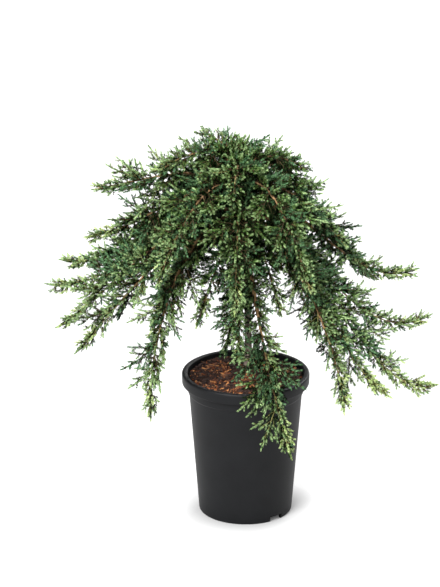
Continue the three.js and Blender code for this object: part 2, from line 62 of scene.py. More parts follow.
# Sizes of the pot, its filling and the trunk, as in the solids
POT_HEIGHT = 248
POT_BASE_RADIUS = 79
POT_TOP_RADIUS = 96
RIM_RADIUS = 108
RIM_BAND = 18
COLLAR_HEIGHT = 18
POT_WALL = 3.5
POT_FLOOR = 5
LIP_DEPTH = 7
CHANNEL_INNER_RADIUS = 52
CHANNEL_OUTER_RADIUS = 73
CHANNEL_HEIGHT = 9
NOTCH_WIDTH = 25
NOTCH_AZIMUTHS = (-49, 131)
SUBSTRATE_TOP = 240
SEAT_TOP = 245
MOUND_RADIUS = 60
TRUNK_FOOT = (5, 25, 245.3)
TRUNK_MIDDLE = (4, 12, 420)
TRUNK_TIP = (-12, 0, 628)
TRUNK_FOOT_RADIUS = 9.5
TRUNK_RADIUS = 6.2
TRUNK_TIP_RADIUS = 3.2
FLARE_SHARE = 0.09

# Sizes of the limbs and plumes, as in the solids. A share counts from a line's root to its tip
FIT_GAP = 0.3
CREST_SHARE = 0.28
ELBOW_SWAY = 0.4
BOUGH_RADIUS = 3.8
STEM_RADIUS = 3.2
TWIG_ANGLE = 58
TWIG_TIP_ANGLE = 40
TWIG_DROOP = 0.1
TWIG_LENGTHS = (0.9, 1.12)
FIRST_TWIG = 30
FIRST_TWIG_SHARE = 0.75
LEADER_LENGTH = 70
LEADER_FANNING = 0.55
LEADER_TILT = 0.8
ROLLS = (75, -70, 30, -25, 115, -110, 160)
FIRST_ROLLS = 2.4
ROLL_SPREAD = 24
ROUND_SIZES = (1, 0.78, 0.62)
RAISED_SHORTER = 0.4
TAPER_FROM = 0.4
CORE_SPAN = (0.1, 0.75)
CORE_ARC = (0.2, 0.95)
CORE_POWER = 0.6
CORE_ROOM = 0.8
BROAD_RADIUS = 3.4
SLIM_RADIUS = 1.8
CLEARANCE = 0.4
CHAIN_STEPS = 16
TRUNK_STEPS = 12
FIRST_SEED = 100
FAN_START = 0.17
TWIG_HALF_WIDTH = 2
SPRAY_ANGLES = (46, 22, 0, -22, -46)
SPRAY_LENGTHS = (0.62, 0.82, 1, 0.82, 0.62)
SPRAY_ANGLE_SPREAD = 10
SPRAY_LENGTH_SPREAD = (0.86, 1.14)

# The finer shape of the pot and its filling
POT_SIDES = 144
WALL_RINGS = (0.06, 0.1, 0.3, 0.6)
EDGE_RADIUS = 1.3
EDGE_LIMIT = 0.4
NOTCH_DEPTH = 20
SMALL_HOLE = 0.4
SUBSTRATE_RADIUS = 96.4
SUBSTRATE_SIDES = 120
SUBSTRATE_RINGS = 60
SUBSTRATE_SUNK = 2
CRUMB_HEIGHT = 1.1
CRUMB_SCALE = 0.35
FINE_CRUMB_SCALE = 0.9
FINE_CRUMB_SHARE = 0.6

# The chips of bark: their length, width and thickness, of which small ones are the more common
CHIP_COUNT = 5600
CHIP_SIZES = ((3.5, 15), (1.4, 4.4), (1, 2.4))
SMALL_CHIPS = 1.5
CHIP_ROUGHNESS = (-0.34, 0.2)
CHIP_TILT = 0.3
CHIP_MARGIN = 4
CHIP_BED = 0.6
CHIP_HEAP = 4
DAMP_SCALE = 0.1
DAMP_RANGE = (-0.6, 0.45)

# Bark: the rings and sides of each tube, the height of its relief and the shape of its noise
TRUNK_RINGS, TRUNK_SIDES, TRUNK_RELIEF = 260, 56, 0.7
BOUGH_RINGS, BOUGH_SIDES, BOUGH_RELIEF = 48, 14, 0.35
STEM_RINGS, STEM_SIDES, STEM_RELIEF = 64, 8, 0.22
GRAIN_SQUEEZE = 0.16
RIDGE_SCALE = 0.5
FLAKE_SCALE = (0.24, 0.24, 0.8)
FIBRE_SCALE = (1.3, 1.3, 0.9)
RIDGE_SHARE, FLAKE_SHARE, FIBRE_SHARE = 0.5, 0.4, 0.3
FLUTES = ((0.09, 5, 1.2), (0.06, 3, 0))
FLUTE_HEIGHT = 14
BOUGH_SWELL, BOUGH_SWELL_REACH = 0.45, 9
BOUGH_KNOTS = (0.1, 5.5)
BOUGH_SLIMMER = 0.9
BOUGH_OVERLAP = 4
STEM_KNOTS = (0.14, 4.5)
STEM_SLIMMER = 0.85
STEM_END_RADIUS = 0.5
STEM_END = 0.985
STEM_TAPER = 0.6

# A spray's rib, its side shoots, and the buds along each of those. RISING bends them upwards
RIB_SPAN = (0.08, 0.92)
RIB_COVER = 0.86
RIB_WAVES = (0.1, 0.08)
RIB_BARE = 0.1
NARROWEST_FAN = 0.62
SHOOT_SPACING = 8.1
SHOOT_JITTER = 0.6
SHOOT_ANGLE = 36
SHOOT_TURN = 14
SHOOT_TILT = 50
SHOOT_REACH = 0.72
SHOOT_LENGTHS = (0.78, 1.1)
SHOOT_TAPER = 1.3
SHOOT_BEND = 0.07
SHOOT_CURL = 0.12
SMALLEST_SHOOT = 8
BUD_SPACING = 12
BUD_ANGLE = 46
BUD_TILT = 1.4
BUD_LENGTHS = (13, 7)
RISING = 0.09
RIB_THICK, SHOOT_THICK, BUD_THICK, CLOTHED_THICK = 1.0, 0.75, 0.55, 0.4
TWIG_TAPER = (1, 0.72, 0.06)
TWIG_SIDES = 3

# Sprays near a limb's tip are slim: fewer shoots, closer to the rib, with smaller buds
YOUNG_END = 125
SLIM_IN_DOME = 0.3
SLIM_SPACING = 1.6
SLIM_ANGLE = 0.72
SLIM_BUDS = 0.62

# Short sprays all along the stems, and needles that clothe the stems' outer part
INNER_SPACING = 3.1
DENSE_SPACING = 3
INNER_SHOOT_SPACING = 6.8
INNER_START = 0.4
INNER_MARGIN = 14
INNER_END = 0.95
INNER_CROWDING = 1.25
GOLDEN_ANGLE = 137.5
INNER_ROLL = 40
INNER_UPWARD = 0.45
INNER_ANGLES = (72, 40)
INNER_ANGLE_SPREAD = 16
INNER_LENGTHS = (24, 44)
INNER_TAPER = (1.05, 0.42)
INNER_FACING = 0.3
INNER_FANNING = 0.9
CLOTHED_FROM = 0.42
CLOTHED_END = 0.99
CLOTHED_STEP = 22
CLOTHED_SHARE = 0.82

# Needles, in whorls of three
WHORL_PITCH = 2
# Needles of the near-black green of painted shade sit further apart along their shoot
PAINTED_SHADE_PITCH = 1.3
WHORL_JITTER = (0.3, 0.9)
WHORL_NEEDLES = 3
FIRST_TURN = 6.28
NEEDLE_TURNS = (-0.3, 0.3)
NEEDLE_ANGLES = (38, 16)
NEEDLE_SWINGS = (-0.16, 0.16)
NEEDLE_LENGTH = 6.6
NEEDLE_LENGTHS = (0.8, 1.12)
NEEDLE_END_LENGTH = 0.72
SHORT_SHOOT_LENGTH = 0.55
FULL_SHOOT = 40
NEEDLE_WIDTH = 1.8
NEEDLE_FOLD = 0.28
NEEDLE_SUNK = 0.3
NEEDLE_WIDEST = 0.42
NEEDLE_HOOK = 0.1
NEEDLES_A_PIECE = 98000

# Colours: the greens from the heart of the crown to its tips, of which the first, near black, is
# painted shade, and the tones of the bark chips
GREEN_NAMES = ("painted_shade", "mid", "blue", "light", "fresh")
PAINTED_SHADE, MID, BLUE, LIGHT, FRESH = range(5)
GREENS = (
    ("#060d03", "#14260b"),
    ("#15280e", "#6b8f49"),
    ("#122814", "#638d5f"),
    ("#2f501f", "#a9c489"),
    ("#688639", "#d3e3a4"),
)
GREEN_GLOSS = (0.05, 0.18, 0.2, 0.26, 0.3)
MIDDLE_GREENS = (MID, BLUE, MID, BLUE, MID)
CHIP_TONES = (
    ("#180a04", "#34180a"),
    ("#4a250f", "#783f1c"),
    ("#8c5028", "#cc8f55"),
    ("#3c281a", "#6b4c34"),
)
CHIP_TONE_SHARES = (0.34, 0.36, 0.17, 0.13)

# Where each green goes: lighter the younger the growth is. The near-black green is painted shade,
# given low in the scale, where a shoot points into the crown and at the root of every shoot; and
# painted light and shade make an inner spray lighter where it points out of the crown and darker
# where it points in
CROWN_RADIUS = 300
CROWN_HEART = 400
LOW_GROWTH = 420
YOUNG_FAR_OUT, YOUNG_LOW_DOWN, YOUNG_NEAR_TIP = 0.32, 0.4, 0.34
PLUME_FRESHNESS = 0.3
LEADER_FRESHNESS = 0.2
INNER_FRESHNESS_AND_SHADE = 0.08
OUTWARD_PAINTED_LIGHT = 0.25
CLOTHED_FRESHNESS = (0.3, 0.6)
FRESHNESS_SPREAD = 0.5
FRESH_FROM, LIGHT_FROM, MIDDLE_FROM = 0.88, 0.64, 0.14
SAME_GREEN_SHARE = 0.8
SHADED = -0.05
SHADED_SHARE = 0.8
# How much of each shoot, from its root, gets the near-black green of painted shade
ROOT_SHADE_SHARE = 0.47
ROOT_SHADE_SPREAD = (0.4, 1.3)
PALE_TIPS = (0.86, 0.44)

# The stage. Each light has its place, size and power
WHITE = (1, 1, 1, 1)
WORLD_LIGHT = 0.2
FLOOR_SIZE = 60
FLOOR_TONES = ("#949494", "#979797")
FLOOR_GLOW = 0.75
# The floor's glow is nil out to the first of these distances from the middle and full from the
# second, in metres: a painted shadow under the pot
PAINTED_SHADOW_EDGE = (0.06, 0.13)
LIGHT_AIM = (0, 0, 0.35)
LIGHTS = (
    ("key", (-2.3, -4.4, 4.4), 3.2, 960),
    ("fill", (3.4, -3.6, 2.4), 3.0, 40),
    ("top", (0.0, 0.3, 5.0), 2.0, 200),
    ("back", (2.2, 4.4, 3.0), 3.0, 280),
)

# The limbs: azimuth, sway and twist in degrees, heights and lengths in mm, as in the solids
PLAIN_LIMB = dict(sway=0, hang=0.66, twist=0, end=0.4, bare=0.34, core=0)
DOME = dict(bare=0, core=18)
LIMB_COLUMNS = ("name", "azimuth", "base", "crest", "elbow", "reach", "tip", "spread", "twigs")
LIMBS = (
    ("right_high", 4, 537, 606, 368, 296, 424, 52, 8, dict(twist=55, hang=0.6)),
    ("right_middle", -10, 518, 588, 272, 318, 370, 54, 7, dict(twist=50, hang=0.54)),
    ("right_low", -24, 500, 580, 206, 350, 278, 74, 9, dict(twist=40, hang=0.64)),
    ("right_front", -36, 509, 594, 280, 300, 268, 84, 9, dict(twist=20, end=0.6)),
    ("right_hang", -37, 484, 565, 330, 264, 252, 66, 9,
     dict(sway=-15, hang=0.85, end=0.6, bare=0.26)),
    ("front_trail", -95, 522, 570, 345, 176, 152, 78, 9,
     dict(sway=32, hang=0.95, end=1.3, bare=0.42)),
    ("front_column", -100, 494, 557, 430, 124, 306, 64, 11, dict(sway=6, end=0.8, bare=0)),
    ("front_left_tuft", -126, 444, 540, 450, 140, 366, 56, 9, dict(end=0.7, bare=0.26)),
    ("trunk_skirt", -140, 440, 440, 352, 46, 286, 52, 8, dict(end=0.9, bare=0)),
    ("front_right_arch", -60, 461, 538, 446, 118, 384, 50, 8, dict(bare=0.26)),
    ("left_inner", -142, 482, 581, 460, 200, 360, 78, 9, dict(end=0.7)),
    ("left_hang", -145, 511, 598, 420, 222, 222, 70, 12, dict(sway=11, hang=0.95, end=0.85)),
    ("left_low_front", -157, 474, 572, 420, 306, 324, 84, 10, dict(twist=-35, end=0.75)),
    ("left_low", -168, 503, 589, 410, 320, 350, 78, 10, dict(twist=-50, end=0.75, hang=0.66)),
    ("left_far_low", -177, 526, 598, 376, 330, 410, 74, 9, dict(twist=-60, end=0.6, hang=0.62)),
    ("left_far_high", 172, 538, 604, 398, 312, 432, 68, 10, dict(twist=-60, end=0.6, hang=0.62)),
    ("left_middle", -176, 558, 620, 500, 262, 494, 86, 9, dict(twist=-60, hang=0.6)),
    ("left_high", 176, 580, 624, 582, 248, 566, 90, 10, dict(twist=-60, end=0.75)),
    ("crown_left", -165, 604, 658, 650, 140, 614, 70, 7, dict(twist=-30, bare=0, core=16)),
    ("crown_top", 160, 620, 652, 658, 66, 664, 52, 7, dict(bare=0, core=14)),
    ("crown_right", 10, 606, 640, 630, 114, 598, 64, 7, dict(twist=30, bare=0, core=18)),
    ("crown_front", -96, 593, 646, 636, 122, 584, 70, 7, DOME),
    ("crown_back", 92, 598, 640, 636, 126, 584, 70, 6, DOME),
    ("shoulder_right", -12, 584, 606, 560, 178, 484, 72, 8, dict(twist=40, bare=0, core=15)),
    ("shoulder_front_right", -56, 572, 632, 580, 200, 450, 86, 8, dict(bare=0, core=15)),
    ("shoulder_front_left", -132, 566, 631, 580, 210, 456, 86, 8, DOME),
    ("shoulder_front", -94, 552, 610, 560, 190, 420, 84, 8, DOME),
    ("back_right_high", 32, 546, 610, 425, 276, 358, 80, 7, {}),
    ("back_right_low", 60, 489, 600, 400, 270, 304, 88, 7, {}),
    ("back_middle", 88, 532, 620, 420, 256, 280, 86, 7, {}),
    ("back_left_low", 118, 498, 599, 400, 270, 300, 88, 7, {}),
    ("back_left_high", 147, 548, 608, 430, 284, 360, 80, 7, {}),
    ("shoulder_back_right", 50, 576, 635, 580, 190, 470, 86, 6, DOME),
    ("shoulder_back_left", 130, 570, 634, 580, 196, 470, 86, 6, DOME),
)


def mix(start, end, share):
    return start + (end - start) * share


def unit(vectors):
    return vectors / norm(vectors, axis=-1, keepdims=True)


def chance(seed, index):
    """A random number from 0 to 1 that depends only on a seed and an index."""
    a = (seed * 0x9E3779B1 ^ (index + 1) * 0x85EBCA6B) & 0xFFFFFFFF
    a = (a ^ a >> 15) * (a | 1) & 0xFFFFFFFF
    a ^= a + (a ^ a >> 7) * (a | 61) & 0xFFFFFFFF
    return (a ^ a >> 14) / 4294967296


def wobble(seed, index):
    """The same number, but from -0.5 to 0.5."""
    return chance(seed, index) - 0.5


def half_up(value):
    return math.floor(value + 0.5)


def noise(places, seed):
    """Smooth noise from -1 to 1 at an array of places, with lumps one unit wide."""
    cell = np.floor(places).astype(np.int64)
    local = places - cell
    local = local * local * (3 - 2 * local)
    total = 0
    for corner in np.ndindex(2, 2, 2):
        key = (cell + corner) @ np.array([73856093, 19349663, 83492791]) + seed * 2654435761
        key = ((key ^ key >> 13) * 1274126177) & 0xFFFFFFFF
        value = ((key ^ key >> 16) & 0xFFFF) / 32767.5 - 1
        weight = np.prod(np.where(np.array(corner) == 1, local, 1 - local), axis=-1)
        total = total + weight * value
    return total


class Curve:
    """A Bezier curve measured by its arc length."""

    DIVISIONS = 200
    NUDGE = 1e-4

    def __init__(self, *controls):
        self.controls = np.array(controls, float)
        self.steps = np.linspace(0, 1, self.DIVISIONS + 1)
        gaps = norm(np.diff(self.point(self.steps), axis=0), axis=1)
        self.lengths = np.concatenate([[0], np.cumsum(gaps)])
        self.length = self.lengths[-1]

    def point(self, t):
        top = len(self.controls) - 1
        t = np.asarray(t, float)[..., None]
        weights = (math.comb(top, k) * t**k * (1 - t) ** (top - k) for k in range(top + 1))
        return sum(weight * control for weight, control in zip(weights, self.controls))

    def step(self, share):
        return np.interp(np.asarray(share, float) * self.length, self.lengths, self.steps)

    def at(self, share):
        return self.point(self.step(share))

    def tangent(self, share):
        t = self.step(share)
        ahead, behind = np.minimum(t + self.NUDGE, 1), np.maximum(t - self.NUDGE, 0)
        return unit(self.point(ahead) - self.point(behind))


trunk_curve = Curve(TRUNK_FOOT, TRUNK_MIDDLE, TRUNK_TIP)


def trunk_radius(share):
    flare = np.maximum(0, 1 - share / FLARE_SHARE) ** 2 * (TRUNK_FOOT_RADIUS - TRUNK_RADIUS)
    return mix(TRUNK_RADIUS, TRUNK_TIP_RADIUS, share) + flare


def limb_curve(limb):
    """A limb's line: out of the trunk, over its crest and down to its tip."""
    foot, tip = TRUNK_FOOT[2], TRUNK_TIP[2]
    root = trunk_curve.point((min(limb.base, tip) - foot) / (tip - foot))

    def spot(distance, height, turn):
        azimuth = radians(limb.azimuth + limb.sway * turn)
        x, y = distance * math.cos(azimuth), distance * math.sin(azimuth)
        return root[0] + x, root[1] + y, height

    crest = spot(CREST_SHARE * limb.reach, limb.crest, 0)
    elbow = spot(limb.hang * limb.reach, limb.elbow, ELBOW_SWAY)
    return Curve(root, crest, elbow, spot(limb.reach, limb.tip, 1))


def side_of(limb):
    """The way a limb's flat spray spreads: level, or tipped up by the limb's twist."""
    azimuth = radians(limb.azimuth)
    rise = math.tan(radians(limb.twist))
    return unit(np.array([-math.sin(azimuth), math.cos(azimuth), rise]))


class Room:
    """Everything grown so far as rods in clumps, so that no plume touches another or a limb."""

    def __init__(self):
        self.clumps = []
        self.centres = np.zeros((0, 3))
        self.radii = np.zeros(0)

    @staticmethod
    def clump(owner, rods, is_stem=False):
        ends = np.array([rod[0] for rod in rods] + [rod[1] for rod in rods])
        low, high = ends.min(0), ends.max(0)
        thick = np.array([rod[2] for rod in rods])
        starts, stops = np.split(ends, 2)
        ball = norm(high - low) / 2 + thick.max()
        return SimpleNamespace(owner=owner, starts=starts, stops=stops, thick=thick,
                               is_stem=is_stem, centre=(low + high) / 2, ball=ball)

    def add(self, clump):
        self.clumps.append(clump)
        self.centres = np.vstack([self.centres, clump.centre])
        self.radii = np.append(self.radii, clump.ball)

    def is_free(self, clump):
        gaps = norm(self.centres - clump.centre, axis=1) - self.radii
        near = [self.clumps[i] for i in np.flatnonzero(gaps <= clump.ball + CLEARANCE)]
        near = [other for other in near if not (other.is_stem and other.owner == clump.owner)]
        if not near:
            return True
        starts = np.concatenate([other.starts for other in near])
        stops = np.concatenate([other.stops for other in near])
        room = clump.thick[:, None] + np.concatenate([other.thick for other in near]) + CLEARANCE
        return bool((rod_gaps(clump.starts, clump.stops, starts, stops) >= room**2).all())


def rod_gaps(a_start, a_stop, b_start, b_stop):
    """The squared distance from each straight piece of a to each of b."""
    parallel = 1e-12
    along_a, along_b = (a_stop - a_start)[:, None], (b_stop - b_start)[None]
    apart = a_start[:, None] - b_start[None]
    aa, bb = (along_a * along_a).sum(-1), (along_b * along_b).sum(-1)
    ab = (along_a * along_b).sum(-1)
    ra, rb = (along_a * apart).sum(-1), (along_b * apart).sum(-1)
    cross = aa * bb - ab * ab
    nearest = (ab * rb - ra * bb) / np.maximum(cross, parallel)
    s = np.clip(np.where(cross > parallel, nearest, 0), 0, 1)
    t = (ab * s + rb) / bb
    s = np.where(t < 0, np.clip(-ra / aa, 0, 1), np.where(t > 1, np.clip((ab - ra) / aa, 0, 1), s))
    t = np.clip(t, 0, 1)
    gap = apart + along_a * s[..., None] - along_b * t[..., None]
    return (gap * gap).sum(-1)


def plume_along(root, way, facing, length, seed, fanning=1):
    across = unit(facing - way * facing.dot(way))
    return SimpleNamespace(root=root, way=way, across=across, up=np.cross(across, way),
                           length=length, seed=seed, fanning=fanning)


def plume_clump(owner, plume):
    """The rods of a plume: its twig, and for each spray a broad half and a slim half."""
    heart = plume.root + plume.way * FAN_START * plume.length
    rods = [(plume.root, heart, TWIG_HALF_WIDTH)]
    for k, (angle, reach) in enumerate(zip(SPRAY_ANGLES, SPRAY_LENGTHS)):
        if angle:
            angle = plume.fanning * (angle + SPRAY_ANGLE_SPREAD * wobble(plume.seed, 40 + k))
            reach *= mix(*SPRAY_LENGTH_SPREAD, chance(plume.seed, 50 + k))
        reach *= plume.length * (1 - FAN_START)
        turn = radians(angle)
        tip = heart + reach * (plume.way * math.cos(turn) + plume.across * math.sin(turn))
        middle = (heart + tip) / 2
        rods += [(heart, middle, BROAD_RADIUS), (middle, tip, SLIM_RADIUS)]
    return Room.clump(owner, rods)


def twig_plume(grown, place, size, attempt):
    """A twig's plume. Each attempt turns it further round the stem."""
    limb, curve, length = grown.limb, grown.curve, grown.curve.length
    seed = grown.seed * 64 + half_up(place * 10)
    share = (place + 0.5 * chance(seed, 0)) / limb.twigs
    first = max(grown.start, FIRST_TWIG / length)
    at = mix(first, 1 - 0.5 * LEADER_LENGTH / length, share)
    tangent = curve.tangent(at)
    side = side_of(limb)
    outward = unit(np.cross(tangent, side))
    turn = ROLLS[(attempt + math.floor(FIRST_ROLLS * chance(seed, 1))) % len(ROLLS)]
    hand = 1 if half_up(place * 2) % 2 else -1
    roll = radians(hand * turn + ROLL_SPREAD * wobble(seed, 10 + attempt))
    sideways = outward * math.cos(roll) + side * math.sin(roll)
    angle = radians(mix(TWIG_ANGLE, TWIG_TIP_ANGLE, share))
    way = unit(tangent * math.cos(angle) + sideways * math.sin(angle) - UP * TWIG_DROOP)
    late = max(0, (share - TAPER_FROM) / (1 - TAPER_FROM))
    taper = min(1, FIRST_TWIG_SHARE + share) * mix(1, limb.end, late)
    raised = 1 - RAISED_SHORTER * max(0, way[2])
    varied = mix(*TWIG_LENGTHS, chance(seed, 2))
    reach = limb.spread * size * taper * raised * varied
    return plume_along(curve.at(at), way, tangent, reach, seed)


def leader_plume(grown):
    root = grown.curve.at(1 - LEADER_LENGTH / grown.curve.length)
    way = grown.curve.at(1) - root
    length = norm(way)
    facing = side_of(grown.limb) + LEADER_TILT * UP
    return plume_along(root, way / length, facing, length, grown.seed, LEADER_FANNING)


def core_radius(limb, share):
    return limb.core * math.sin(math.pi * mix(*CORE_ARC, share)) ** CORE_POWER


def grow_limbs():
    """Every limb with its plumes, grown in rounds by the rule of the solids."""
    room = Room()

    def chain(owner, points, radius_at, is_stem=False):
        for i in range(1, len(points)):
            rod = points[i - 1], points[i], radius_at((i - 0.5) / (len(points) - 1))
            room.add(Room.clump(owner, [rod], is_stem))

    chain("trunk", trunk_curve.at(np.linspace(0, 1, TRUNK_STEPS + 1)), trunk_radius)
    limbs = []
    for index, (*sizes, others) in enumerate(LIMBS):
        limb = SimpleNamespace(**{**PLAIN_LIMB, **dict(zip(LIMB_COLUMNS, sizes)), **others})
        curve = limb_curve(limb)
        start = limb.bare + FIT_GAP / curve.length if limb.bare else 0
        limbs.append(SimpleNamespace(limb=limb, curve=curve, start=start,
                                     seed=FIRST_SEED + index, plumes=[]))
        points = curve.at(np.linspace(0, 1, CHAIN_STEPS + 1))
        bare = half_up(limb.bare * CHAIN_STEPS)
        chain(limb.name + "_bough", points[: bare + 1], lambda share: BOUGH_RADIUS)
        chain(limb.name, points[bare:], lambda share: STEM_RADIUS, True)
        if limb.core:
            first, last = (half_up(share * CHAIN_STEPS) for share in CORE_SPAN)
            chain(limb.name, points[first : last + 1],
                  lambda share: CORE_ROOM * core_radius(limb, share), True)
    for grown in limbs:
        grown.plumes.append(leader_plume(grown))
        room.add(plume_clump(grown.limb.name, grown.plumes[0]))
    for turn, size in enumerate(ROUND_SIZES):
        for i in reversed(range(max(grown.limb.twigs for grown in limbs))):
            for grown in limbs:
                if i < grown.limb.twigs:
                    add_plume(room, grown, i + turn / len(ROUND_SIZES), size)
    return limbs


def add_plume(room, grown, place, size):
    for attempt in range(len(ROLLS)):
        plume = twig_plume(grown, place, size, attempt)
        clump = plume_clump(grown.limb.name, plume)
        if room.is_free(clump):
            grown.plumes.append(plume)
            room.add(clump)
            return


class Shoots:
    """Shoots as quadratic curves, each with its thickness, its green and how much of it is bare."""

    def __init__(self):
        self.curves = []
        self.thick = []
        self.colours = []
        self.bare = []

    def add(self, root, way, length, lift, thick, colour, bare=0.0):
        """lift is how far the shoot's middle stands off its straight line."""
        tip = root + way * length
        self.curves.append((root, (root + tip) / 2 + lift, tip))
        self.thick.append(thick)
        self.colours.append(colour)
        self.bare.append(bare)

    def arrays(self):
        return (np.array(x) for x in (self.curves, self.thick, self.colours, self.bare))


def spray_colour(seed, freshness_and_shading):
    """Which green a spray gets: a fresh one is lighter, each spray has its own tint, and a level
    below MIDDLE_FROM gets the near-black green of painted shade.
    """
    level = freshness_and_shading + FRESHNESS_SPREAD * wobble(seed, 90)
    if level > FRESH_FROM:
        return FRESH
    if level > LIGHT_FROM:
        return LIGHT
    if level > MIDDLE_FROM:
        return MIDDLE_GREENS[int(len(MIDDLE_GREENS) * chance(seed, 91))]
    return PAINTED_SHADE


def outness(root, way):
    """How far a direction points out of the crown, from -1 to 1.

    Out is away from the crown's heart, and level where the crown hangs below it.
    """
    heart = np.array([0, 0, min(CROWN_HEART, root[2])])
    return way.dot(unit(root - heart))


def nearness(root, grown):
    """How near a point is to its limb's tip: 1 there, and 0 from YOUNG_END on."""
    return max(0.0, 1 - norm(root - grown.curve.at(1)) / YOUNG_END)


def youth(root, grown):
    """How young the growth at a point is: younger far out, low down and near its limb's tip."""
    far, low = norm(root[:2]) / CROWN_RADIUS, max(0.0, 1 - root[2] / LOW_GROWTH)
    return YOUNG_FAR_OUT * far + YOUNG_LOW_DOWN * low + YOUNG_NEAR_TIP * nearness(root, grown)


def grow_spray(shoots, plume, freshness_and_shading, bare, spacing=SHOOT_SPACING, slim=0.0):
    """A plume's rib with side shoots that reach as far as the plume's fan, and their buds.

    Slim sprays have fewer side shoots, which lie closer along the rib.
    """
    length, seed = plume.length, plume.seed
    fan = mix(NARROWEST_FAN, 1, plume.fanning)
    colour = spray_colour(seed, freshness_and_shading)
    wave = RIB_WAVES[0] * wobble(seed, 60), RIB_WAVES[1] * wobble(seed, 61)
    lift = length * (wave[0] * plume.across + wave[1] * plume.up - RISING * UP)
    middle = plume.root + plume.way * length / 2 + lift
    rib = Curve(plume.root, middle, plume.root + plume.way * length)
    shoots.add(plume.root, plume.way, length, lift, RIB_THICK, colour, bare)
    count = max(2, int(length * RIB_COVER / spacing / mix(1, SLIM_SPACING, slim)))
    for i in range(count):
        share = mix(*RIB_SPAN, (i + SHOOT_JITTER * chance(seed, 100 + i)) / count)
        hand = 1 if i % 2 else -1
        angle = SHOOT_ANGLE * fan * mix(1, SLIM_ANGLE, slim)
        turn = radians(angle + SHOOT_TURN * wobble(seed, 200 + i)) * hand
        tilt = radians(SHOOT_TILT * wobble(seed, 300 + i))
        sideways = plume.across * math.cos(tilt) + plume.up * math.sin(tilt)
        way = unit(plume.way * math.cos(turn) + sideways * math.sin(turn))
        varied = mix(*SHOOT_LENGTHS, chance(seed, 400 + i))
        reach = SHOOT_REACH * fan * length * (1 - share) ** SHOOT_TAPER * varied
        reach = max(SMALLEST_SHOOT, reach)
        root = rib.at(share)
        curl = SHOOT_CURL * wobble(seed, 500 + i) * plume.up
        bend = reach * (SHOOT_BEND * (way - plume.way) + curl - RISING * UP)
        tint = colour
        if chance(seed, 700 + i) >= SAME_GREEN_SHARE:
            tint = spray_colour(seed * 31 + i, freshness_and_shading)
        # Shoots that point into the crown mostly get the near-black green: painted shade
        if outness(root, way) < SHADED and chance(seed, 900 + i) < SHADED_SHARE:
            tint = PAINTED_SHADE
        shoots.add(root, way, reach, bend, SHOOT_THICK, tint)
        for j in range(int(reach / BUD_SPACING)):
            part = (j + 1) * BUD_SPACING / (reach + BUD_SPACING)
            turn = radians(BUD_ANGLE) * (1 if (i + j) % 2 else -1)
            tilt = BUD_TILT * plume.up * wobble(seed, 800 + 9 * i + j)
            across = unit(np.cross(plume.up, way)) + tilt
            bud_way = unit(way * math.cos(turn) + across * math.sin(turn))
            bud_root = root + way * reach * part + 2 * part * (1 - part) * bend
            bud_length = mix(*BUD_LENGTHS, part) * mix(1, SLIM_BUDS, slim)
            shoots.add(bud_root, bud_way, bud_length, np.zeros(3), BUD_THICK, tint)


def grow_inner(shoots, grown):
    """Short sprays all along a stem, more of them on its upper side, which close its heart."""
    limb, curve, length = grown.limb, grown.curve, grown.curve.length
    spacing = DENSE_SPACING if limb.core else INNER_SPACING
    start = max(INNER_START * limb.bare, INNER_MARGIN / length)
    count = int((INNER_END - start) * length / spacing)
    side = side_of(limb)
    for i in range(count):
        seed = grown.seed * 512 + i
        at = mix(start, INNER_END, ((i + chance(seed, 0)) / count) ** INNER_CROWDING)
        tangent = curve.tangent(at)
        outward = unit(np.cross(tangent, side))
        outward = outward * (1 if outward[2] > 0 else -1)
        roll = radians(GOLDEN_ANGLE * i + INNER_ROLL * chance(seed, 1))
        across = np.cross(tangent, outward)
        sideways = outward * (math.cos(roll) + INNER_UPWARD) + across * math.sin(roll)
        angle = radians(mix(*INNER_ANGLES, at) + INNER_ANGLE_SPREAD * wobble(seed, 2))
        way = unit(tangent * math.cos(angle) + unit(sideways) * math.sin(angle))
        reach = mix(*INNER_LENGTHS, chance(seed, 3)) * mix(*INNER_TAPER, at)
        facing = tangent + INNER_FACING * sideways
        plume = plume_along(curve.at(at), way, facing, reach, seed, INNER_FANNING)
        # Painted light and shade: an inner spray gets a lighter green where it points out of the
        # crown and a darker one where it points in
        outwards = OUTWARD_PAINTED_LIGHT * outness(plume.root, way)
        freshness_and_shading = INNER_FRESHNESS_AND_SHADE + youth(plume.root, grown) + outwards
        grow_spray(shoots, plume, freshness_and_shading, RIB_BARE, INNER_SHOOT_SPACING)


def clothe_stem(shoots, grown):
    """Needles that sit close along the outer part of a stem, in short runs with gaps between."""
    curve = grown.curve
    first = mix(grown.start, 1, CLOTHED_FROM)
    count = int((1 - first) * curve.length / CLOTHED_STEP)
    marks = np.linspace(first, CLOTHED_END, count + 1)
    for k, (here, there) in enumerate(zip(marks[:-1], marks[1:])):
        seed = grown.seed * 256 + k
        if chance(seed, 0) > CLOTHED_SHARE:
            continue
        root, tip = curve.at(here), curve.at(there)
        length = norm(tip - root)
        lift = curve.at((here + there) / 2) - (root + tip) / 2
        colour = spray_colour(seed, mix(*CLOTHED_FRESHNESS, here))
        shoots.add(root, (tip - root) / length, length, lift, CLOTHED_THICK, colour)


def shoot_points(curves, shares):
    """Points and directions on quadratic curves, one share for each curve."""
    a, b, c = curves[:, 0], curves[:, 1], curves[:, 2]
    t = shares[:, None]
    points = a * (1 - t) ** 2 + 2 * b * t * (1 - t) + c * t**2
    return points, unit(2 * (b - a) * (1 - t) + 2 * (c - b) * t)


def frame_of(ways):
    """Two directions square to each direction and to each other."""
    handle = np.where(np.abs(ways[:, 2:]) > 0.8, np.array([1.0, 0, 0]), UP)
    side = unit(np.cross(ways, handle))
    return side, np.cross(ways, side)


